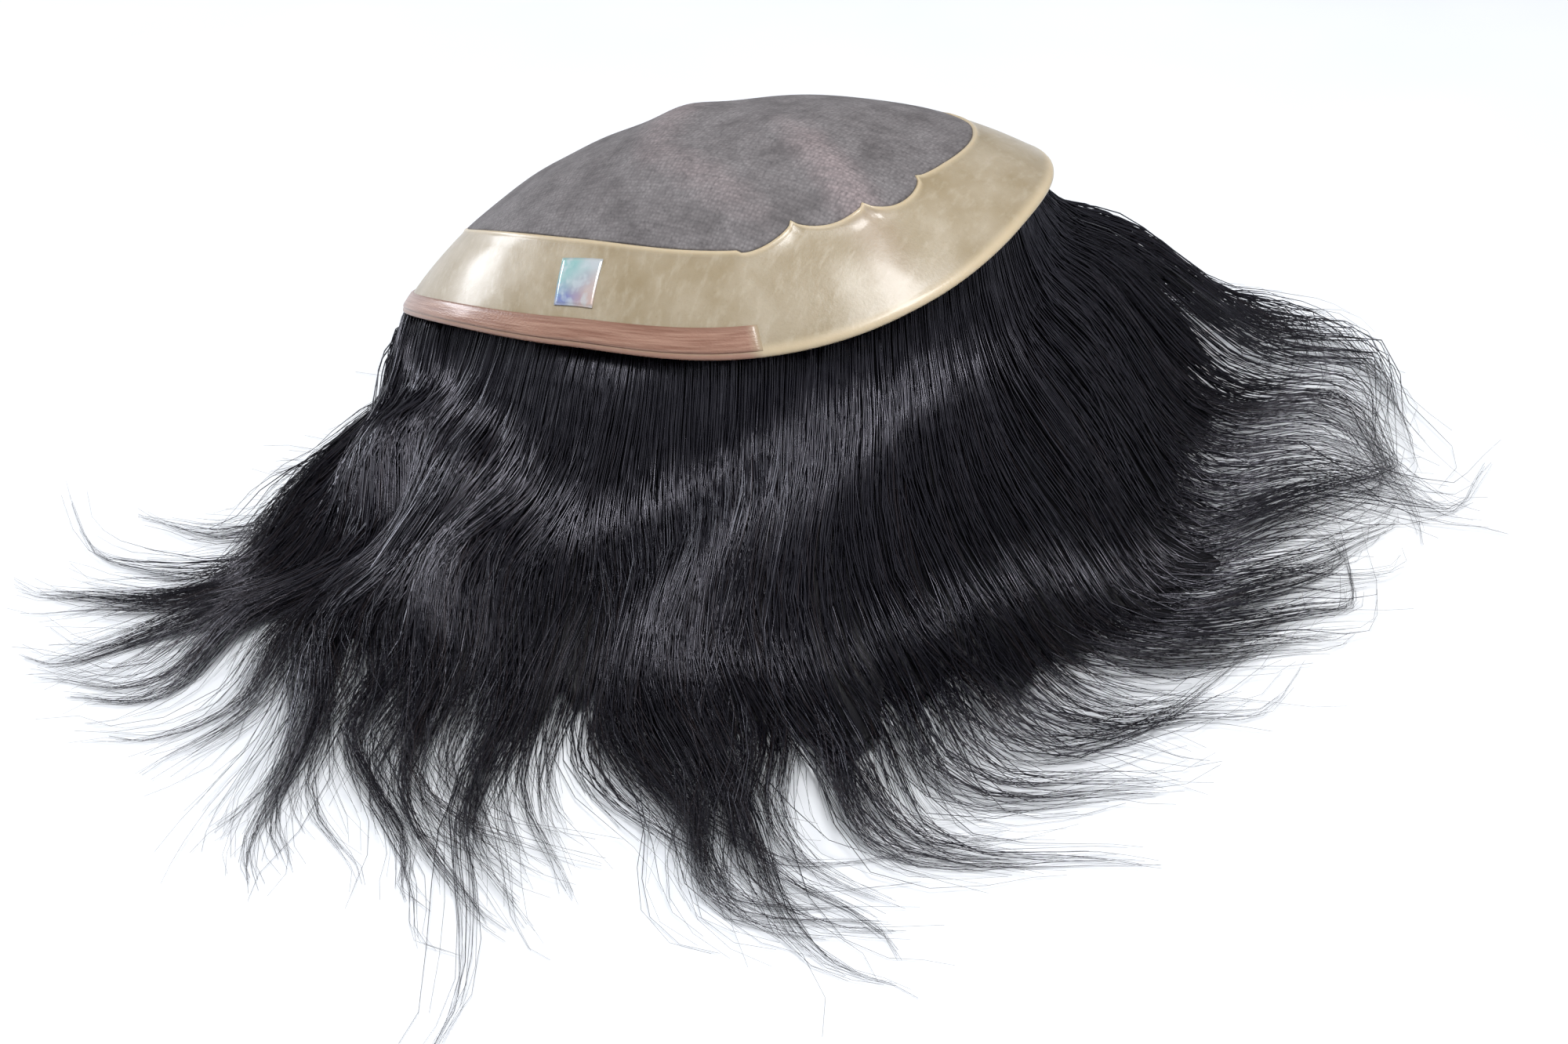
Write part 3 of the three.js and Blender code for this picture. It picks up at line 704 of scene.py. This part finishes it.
def flow(degrees, share):
    """Where hair from an angle of the rim lies at a share of its way: between the two locks on
    either side. Also gives the way across it on the table."""
    degrees = RIMS[0] + (degrees - RIMS[0]) % 360
    row = np.clip(np.searchsorted(RIMS, degrees) - 1, 0, len(RIMS) - 2)
    mix = ((degrees - RIMS[row]) / (RIMS[row + 1] - RIMS[row]))[..., None]
    at = np.clip(share, 0, 1) * (len(SHARES) - 1)
    low = np.minimum(at.astype(int), len(SHARES) - 2)
    part = (at - low)[..., None]

    def lying(step):
        a = CENTRES[row, low + step] * (1 - mix)
        return a + CENTRES[row + 1, low + step] * mix

    first, second = lying(0), lying(1)
    point = first + (second - first) * part
    along = (second - first)[..., :2]
    along = along / np.maximum(np.linalg.norm(along, axis=-1, keepdims=True), 1e-6)
    across = np.stack([-along[..., 1], along[..., 0], np.zeros_like(along[..., 0])], -1)
    return point, across


STEPS = np.array([0, 0.06, 0.14, 0.23, 0.32, 0.41, 0.5, 0.59, 0.67, 0.75, 0.82, 0.88, 0.94, 1])
WISPS_PER_LOCK = 7
# Shares of the hairs: those that lie loose between the wisps, and those that fly away
LOOSE_SHARE = 0.34
FLYAWAY_SHARE = 0.06
# How near to their wisp the loose hairs and the others come at their tips, as a share
LOOSE_GATHER = 0.3
WISP_GATHER = 0.92
# How much shorter than its wisp a hair may be, as a share
SHORTER = 0.58
# Millimetres: the lumps along a wisp, the spring of the hair under the high rim, and how far the
# hair comes out past the rim at the near end
LUMP_HEIGHT = 1.2
RIM_SPRING = 1.5
RIM_PUSH = 5
# A hair longer than its lock goes on straight, by this share of the hair's length for each unit
TIP_RUN = 0.42


def hair_wisps():
    """The wisps that the hair gathers in towards its ends: each one's angle, how far its tip
    drifts and hooks to the left, its length, lift, ripple, and the ripple's waves and phase."""
    random = np.random.default_rng(41)
    count = len(LOCKS) * WISPS_PER_LOCK
    place = np.tile((np.arange(WISPS_PER_LOCK) + 0.5) / WISPS_PER_LOCK - 0.5, len(LOCKS))
    spacing = np.repeat(np.gradient(RIMS)[:-1], WISPS_PER_LOCK)
    curl = np.repeat([lock[4] for lock in LOCKS], WISPS_PER_LOCK)
    angle = np.repeat(RIMS[:-1], WISPS_PER_LOCK) + place * spacing
    calm = 0.25 + 0.75 * smooth(165, 205, angle)

    def shared(spread, own):
        """Neighbouring wisps go much the same way."""
        wide = np.convolve(random.normal(0, spread, count + 6), np.hanning(9)[1:-1], "valid") / 2
        return (wide + random.normal(0, own, count)) * calm

    return {
        "angle": angle + random.normal(0, 1.1, count),
        "drift": shared(8.0, 3.2),
        "hook": shared(8.0, 8.0) + curl * 0.35,
        "length": random.uniform(0.78, 1.2, count),
        "lift": random.uniform(-0.3, 1.2, count),
        "ripple": random.uniform(2.4, 4.2, count),
        "waves": random.uniform(2.3, 2.7, count),
        "phase": angle / 55 + random.normal(0, 0.07, count),
    }


def strand_points(random, count, low, high):
    """The hairs between two angles of the rim: their points in millimetres, their thickness as
    a share of the thickest, and how brown they are."""
    wisps = hair_wisps()
    root = random.uniform(low, high, count)
    aim = root + random.normal(0, 1.6, count)
    wisp = np.abs(wisps["angle"][None, :] - aim[:, None]).argmin(1)
    wisps = {key: values[wisp][:, None] for key, values in wisps.items()}
    loose = random.random((count, 1)) < LOOSE_SHARE
    full = 1 - SHORTER * random.random((count, 1)) ** 0.85
    far = STEPS * wisps["length"] * full
    share, over = np.minimum(far, 1), np.maximum(far - 1, 0)
    gather = smooth(0.4, 1.0, share) * np.where(loose, LOOSE_GATHER, WISP_GATHER)
    away = wisps["angle"] - root[:, None]
    point, across = flow(root[:, None] + away * gather, share)
    # Hairs lie in a layer, highest along the middle of each wisp
    layer = 1 - 2 * random.random((count, 1)) ** 1.5
    thick = lock_thickness(share) * (1 - 0.5 * gather)
    under_rim = np.where(layer > 0, 0.75 + 0.25 * smooth(0.0, 0.12, share), 1)
    point[..., 2] += layer * thick / 2 * under_rim
    swell = smooth(0.04, 0.25, share) * (1 - share)
    point[..., 2] += (wisps["lift"] * 5 * share - 0.7 * np.abs(away)) * swell
    lumps = np.sin(2 * np.pi * (3.4 * share + wisps["angle"] / 27))
    point[..., 2] += LUMP_HEIGHT * lumps * swell
    # Where the rim is high, the hair springs out from it before it falls
    high = np.clip((point[:, :1, 2] - 44) / 12, 0, 1)
    spring = RIM_SPRING * high * smooth(-0.03, 0.16, share)
    point[..., 2] += spring * (1 - smooth(0.17, 0.42, share))
    # At the near end of the cap the hair comes out past the rim before it falls
    out = point[:, :1, :2] / np.linalg.norm(point[:, :1, :2], axis=-1, keepdims=True)
    push = RIM_PUSH * (1 - smooth(196, 226, wisps["angle"])) * smooth(150, 172, wisps["angle"])
    push = push * (0.6 + 0.4 * layer) * (1 - smooth(0.08, 0.36, share))
    point[..., :2] += out * push[..., None]
    # To the side, each wisp drifts, ripples and hooks at its tip, and each hair has its own way
    ripple = wisps["ripple"] * np.sin(2 * np.pi * (wisps["waves"] * far + wisps["phase"]))
    side = wisps["drift"] * far**2.8 + wisps["hook"] * far**3.6 + ripple * smooth(0.05, 0.4, share)
    own = random.uniform(0, 1, (3, count, 1))
    side = side + 0.8 * far * np.sin(2 * np.pi * ((1.5 + own[0]) * far + own[1]))
    close = np.where(loose, 1, 1 - 0.85 * smooth(0.5, 1.0, STEPS * full))
    side = side + random.normal(0, 1.0, (count, 1)) * (0.3 + 1.5 * share) * close
    fly = random.random((count, 1)) < FLYAWAY_SHARE
    stray = np.where(fly, random.normal(0, 11.0, (count, 1)), random.normal(0, 1.8, (count, 1)))
    stray = np.where(loose & ~fly, random.normal(0, 9.0, (count, 1)), stray)
    side = side + stray * far**3 * close
    point[..., 2] += np.where(fly, own[2] * 6, 0) * share**2
    along = np.stack([across[..., 1], -across[..., 0], across[..., 2]], -1)
    point = point + across * side[..., None] + along * (over * HAIR_LENGTH * TIP_RUN)[..., None]
    point[..., 2] = np.maximum(point[..., 2], 0.3 + 0.5 * random.random((count, 1)))
    # The root is under the cap, further in for the hairs that lie underneath
    inset = 1.2 + 6 * random.random(count) * (1 - layer[:, 0])
    deep = -CAP_WALL - 0.5 - 2 * (1 - layer[:, 0])
    start = cap_point(*rim_place(root, inset), deep, creased=False)
    points = np.concatenate([start[:, None, :], point], 1)
    taper = 1 - 0.85 * smooth(0.4, 1.0, np.append(0.0, STEPS))
    thickness = taper * random.uniform(0.75, 1.2, (count, 1))
    return points, thickness, random.random(count) ** 3


def strand_tree(material):
    """Geometry nodes that turn guide lines into thin round hairs."""
    tree = bpy.data.node_groups.new("hairs along guides", "GeometryNodeTree")
    face = tree.interface
    face.new_socket("Guides", in_out="INPUT", socket_type="NodeSocketGeometry")
    face.new_socket("Sides", in_out="INPUT", socket_type="NodeSocketInt").default_value = 3
    radius = face.new_socket("Hair radius", in_out="INPUT", socket_type="NodeSocketFloat")
    radius.default_value = 0.0002
    face.new_socket("Hairs", in_out="OUTPUT", socket_type="NodeSocketGeometry")
    given = add(tree, "NodeGroupInput")
    lines = add(tree, "GeometryNodeMeshToCurve", {"Mesh": given.outputs["Guides"]})
    circle = {"Resolution": given.outputs["Sides"], "Radius": given.outputs["Hair radius"]}
    section = add(tree, "GeometryNodeCurvePrimitiveCircle", circle)
    taper = add(tree, "GeometryNodeInputNamedAttribute", {"Name": "thickness"}, data_type="FLOAT")
    tubes = {
        "Curve": lines.outputs[0],
        "Profile Curve": section.outputs[0],
        "Scale": taper.outputs["Attribute"],
        "Fill Caps": True,
    }
    hairs = add(tree, "GeometryNodeCurveToMesh", tubes)
    rounded = add(tree, "GeometryNodeSetShadeSmooth", {"Geometry": hairs.outputs[0]})
    real = add(tree, "GeometryNodeRealizeInstances", {"Geometry": rounded.outputs[0]})
    dressed = {"Geometry": real.outputs[0], "Material": material}
    done = add(tree, "GeometryNodeSetMaterial", dressed)
    add(tree, "NodeGroupOutput", {"Hairs": done.outputs[0]})
    return tree


def hair_piece(name, tree, points, thickness, tint, radius):
    """One piece of hair: guide lines made round by the tree, as a plain mesh."""
    count, steps = thickness.shape
    guides = bpy.data.meshes.new(name + "_guides")
    guides.vertices.add(count * steps)
    place = (points.reshape(-1, 3) + SHIFT) * MM
    guides.vertices.foreach_set("co", place.astype(np.float32).ravel())
    first = np.arange(count * steps).reshape(count, steps)
    pairs = np.stack([first[:, :-1], first[:, 1:]], -1).reshape(-1, 2)
    guides.edges.add(len(pairs))
    guides.edges.foreach_set("vertices", pairs.astype(np.int32).ravel())
    along = np.tile(np.linspace(0, 1, steps), (count, 1))
    spread = {"thickness": thickness, "along": along, "tint": np.repeat(tint, steps)}
    for key, values in spread.items():
        layer = guides.attributes.new(key, "FLOAT", "POINT")
        layer.data.foreach_set("value", values.astype(np.float32).ravel())
    guides.update()
    draft = bpy.data.objects.new(name + "_draft", guides)
    bpy.context.scene.collection.objects.link(draft)
    modifier = draft.modifiers.new("hairs", "NODES")
    modifier.node_group = tree
    inputs = {s.name: s.identifier for s in tree.interface.items_tree if s.in_out == "INPUT"}
    modifier[inputs["Sides"]] = 3
    modifier[inputs["Hair radius"]] = radius * MM
    graph = bpy.context.evaluated_depsgraph_get()
    mesh = bpy.data.meshes.new_from_object(draft.evaluated_get(graph))
    mesh.name = name
    draft.modifiers.clear()
    bpy.data.objects.remove(draft)
    return new_piece(name, mesh, None, "hair")


def root_mat(material):
    """The matted roots: a closed layer under the cap that turns over the rim and falls with the
    hair, under the loose strands."""
    angles = np.linspace(0, 360, 180, endpoint=False)
    rings_top, rings_bottom = [], []
    for share in (0.05, 0.3, 0.55, 0.8, 0.94):
        u, v = rim_place(angles, 3.0)
        lower = -CAP_WALL - 6.5
        rings_top.append(cap_point(u * share, v * share, -CAP_WALL - 0.7, creased=False))
        rings_bottom.append(cap_point(u * share, v * share, lower, creased=False))
    turn = RIMS[0] + (angles - RIMS[0]) % 360
    ragged = 0.05 * np.sin(turn * 1.1) + 0.04 * np.sin(turn * 2.7 + 1)
    fanned = 0.51 + ragged - 0.33 * smooth(345, 397, turn)
    end = np.where(turn > 399, 0.2 + 0.55 * smooth(399, 430, turn), fanned)
    for step in np.linspace(0.02, 1, 22):
        share = np.full_like(angles, step) * end
        point, _ = flow(angles, share)
        thick = lock_thickness(share) * (1 - 0.75 * step**2)
        top = 0.1 + 0.35 * smooth(0.0, 0.3, share)
        for rings, layer in ((rings_top, top), (rings_bottom, -0.7)):
            ring = point.copy()
            ring[:, 2] = np.maximum(ring[:, 2] + layer * thick / 2, 0.25)
            rings.append(ring)
        rings_top[-1][:, 2] = np.maximum(rings_top[-1][:, 2], rings_bottom[-1][:, 2] + 0.4)
    rings, spokes = len(rings_top), len(angles)
    points = np.concatenate([np.concatenate(rings_top), np.concatenate(rings_bottom)])
    under = rings * spokes
    faces = ring_faces(rings, spokes, 0) + ring_faces(rings, spokes, under, outer=1)
    last = (rings - 1) * spokes
    for i in range(spokes):
        j = (i + 1) % spokes
        faces.append((last + j, last + i, under + last + i, under + last + j))
        faces += [(2 * under, i, j), (2 * under + 1, under + j, under + i)]
    centre = np.zeros(1)
    middle = [cap_point(centre, centre, h, creased=False) for h in (-CAP_WALL - 0.7, -8.0)]
    points = np.concatenate([points, *middle])
    run = np.repeat(np.linspace(0, 170, rings), spokes)
    turn = np.tile(angles * 1.4, rings)
    place = np.concatenate([np.stack([turn, run], -1)] * 2 + [np.zeros((2, 2))])
    mesh = closed_mesh("hair_root_mat", points, faces, place)
    return new_piece("hair_root_mat", mesh, material, "hair")


# Columns: the piece's name, the angles of the rim that it covers, and its number of hairs
HAIR_PARTS = [
    ("hair_back_left", 160, 214, 2150),
    ("hair_near_left", 214, 266, 2300),
    ("hair_near_right", 266, 318, 2300),
    ("hair_front_right", 318, 372, 2300),
    ("hair_tucked_under", 372, 520, 1450),
]
HAIR_RADIUS = 0.19


def loose_hair(material):
    tree = strand_tree(material)
    for number, (name, low, high, count) in enumerate(HAIR_PARTS):
        random = np.random.default_rng(100 + number)
        points, thickness, tint = strand_points(random, count, low, high)
        hair_piece(name, tree, points, thickness, tint, HAIR_RADIUS)


# ---- the table, the light and the camera ----

VIEW_ELEVATION = 36
VIEW_ROLL = 5
VIEW_DISTANCE = 545
VIEW_TARGET = (18.9, -73.2, 0)
VIEW_LENS = 52.2
SENSOR_WIDTH = 36


def set_camera():
    """The camera stands where the photographer did: above the near side, rolled a little."""
    tilt, roll = math.radians(VIEW_ELEVATION), math.radians(VIEW_ROLL)
    back = np.array([0, -math.cos(tilt), math.sin(tilt)])
    level = np.array([1.0, 0, 0])
    upright = np.cross(back, level)
    right = math.cos(roll) * level - math.sin(roll) * upright
    up = math.sin(roll) * level + math.cos(roll) * upright
    centre = (np.array(VIEW_TARGET) + SHIFT * (1, 1, 0) + back * VIEW_DISTANCE) * MM
    data = bpy.data.cameras.new("camera")
    data.lens, data.sensor_width = VIEW_LENS, SENSOR_WIDTH
    data.clip_start = 0.01
    camera = bpy.data.objects.new("camera", data)
    placed = np.eye(4)
    placed[:3, :3] = np.stack([right, up, back], -1)
    placed[:3, 3] = centre
    camera.matrix_world = Matrix(placed.tolist())
    bpy.context.scene.collection.objects.link(camera)
    bpy.context.scene.camera = camera


def soft_box(name, place, aim, size, power, tone="#ffffff"):
    """A rectangular light of a size in metres and a power in watts, aimed at a point."""
    data = bpy.data.lights.new(name, "AREA")
    data.shape, data.size, data.size_y = "RECTANGLE", *size
    data.energy, data.color = power, colour(tone)[:3]
    light = bpy.data.objects.new(name, data)
    back = np.array(place, float) - aim
    back /= np.linalg.norm(back)
    side = np.cross((0.0, 1.0, 0.01), back)
    side /= np.linalg.norm(side)
    placed = np.eye(4)
    placed[:3, :3] = np.stack([side, np.cross(back, side), back], -1)
    placed[:3, 3] = place
    light.matrix_world = Matrix(placed.tolist())
    bpy.context.scene.collection.objects.link(light)


def set_stage():
    """A pale table, a dim even sky and three soft lights."""
    mesh = bpy.data.meshes.new("paper")
    half = 2.5
    corners = [(-half, -half, 0), (half, -half, 0), (half, half, 0), (-half, half, 0)]
    mesh.from_pydata(corners, [], [(0, 1, 2, 3)])
    mesh.materials.append(matt_paper())
    paper = bpy.data.objects.new("paper", mesh)
    bpy.context.scene.collection.objects.link(paper)
    world = bpy.data.worlds.new("studio")
    world.use_nodes = True
    sky = world.node_tree.nodes["Background"]
    sky.inputs[0].default_value = colour("#f2f5fa")
    sky.inputs[1].default_value = 0.4
    bpy.context.scene.world = world
    middle = np.array([0, 0.02, 0.04])
    soft_box("overhead soft box", (0.1, -0.2, 1.15), middle, (0.45, 0.35), 12)
    soft_box("window at the back left", (-0.78, 0.66, 0.3), middle, (0.16, 0.4), 3, "#f4f8ff")
    soft_box("front right fill", (0.9, -0.9, 0.8), middle, (0.8, 0.8), 1.5)
    bpy.context.scene.view_settings.view_transform = "Standard"


set_camera()
set_stage()
net = net_crown(knotted_net())
skin_ring(clear_skin())
ribbon_strip(edge_tape())
foil_square(pearl_foil())
root_mat(matted_hair())
loose_hair(human_hair())
